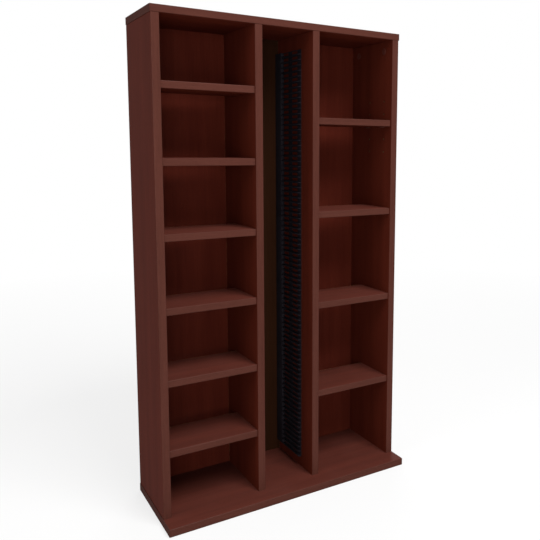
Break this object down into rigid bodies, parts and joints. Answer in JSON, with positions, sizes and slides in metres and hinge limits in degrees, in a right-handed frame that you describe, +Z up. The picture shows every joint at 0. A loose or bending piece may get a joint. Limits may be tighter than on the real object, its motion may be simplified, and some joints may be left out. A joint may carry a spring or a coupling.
{
  "type": "media storage tower",
  "caption": "Tall open storage tower of dark wood-look board: shelves left and right, and a narrow middle column of moulded racks for disc cases.",
  "frame": {"origin": "on the floor under the middle of the unit, halfway between the base's front edge and the rear edges", "axes": "+X to the right seen from the front, +Y from the front to the back, +Z up; the open front faces -Y"},
  "size_m": [0.622, 0.236, 1.12],
  "materials": {
    "board": "satin",
    "back": "matte",
    "rack": "satin",
    "brown_plastic": "satin",
    "steel": "satin",
    "zinc": "matte"
  },
  "bodies": {
    "unit": {"base_board": "board", "left_side": "board", "left_divider": "board", "right_divider": "board", "right_side": "board", "top_board": "board", "left_shelf_1": "board", "left_shelf_2": "board", "left_shelf_3": "board", "left_shelf_4": "board", "left_shelf_5": "board", "left_shelf_6": "board", "right_shelf_2": "board", "right_shelf_3": "board", "right_shelf_4": "board", "back_panel": "back", "disc_rack_left_1": "rack", "disc_rack_right_1": "rack", "disc_rack_left_2": "rack", "disc_rack_right_2": "rack", "disc_rack_left_3": "rack", "disc_rack_right_3": "rack", "disc_rack_left_4": "rack", "disc_rack_right_4": "rack", "disc_rack_left_5": "rack", "disc_rack_right_5": "rack", "base_screw_left_side_front": "steel", "base_screw_left_side_rear": "steel", "base_screw_left_divider_front": "steel", "base_screw_left_divider_rear": "steel", "base_screw_right_divider_front": "steel", "base_screw_right_divider_rear": "steel", "base_screw_right_side_front": "steel", "base_screw_right_side_rear": "steel", "cam_bolt_left_side_front": "steel", "cam_bolt_left_side_rear": "steel", "cam_bolt_left_divider_front": "steel", "cam_bolt_right_divider_front": "steel", "cam_bolt_right_side_front": "steel", "cam_bolt_right_side_rear": "steel", "cam_lock_left_side_front": "zinc", "cam_lock_left_side_rear": "zinc", "cam_lock_left_divider_front": "zinc", "cam_lock_right_divider_front": "zinc", "cam_lock_right_side_front": "zinc", "cam_lock_right_side_rear": "zinc", "cam_cap_left_side_front": "brown_plastic", "cam_cap_left_side_rear": "brown_plastic", "cam_cap_left_divider_front": "brown_plastic", "cam_cap_right_divider_front": "brown_plastic", "cam_cap_right_side_front": "brown_plastic", "cam_cap_right_side_rear": "brown_plastic", "shelf_peg_left_front": "brown_plastic", "shelf_peg_left_rear": "brown_plastic", "shelf_peg_right_front": "brown_plastic", "shelf_peg_right_rear": "brown_plastic"},
    "adjustable_shelf": {"right_shelf_1": "board"}
  },
  "joints": [
    {"name": "adjustable_shelf_slide", "type": "slide", "parent": "unit", "child": "adjustable_shelf", "axis": [0, -1, 0], "range_m": [0, 0.135]}
  ]
}
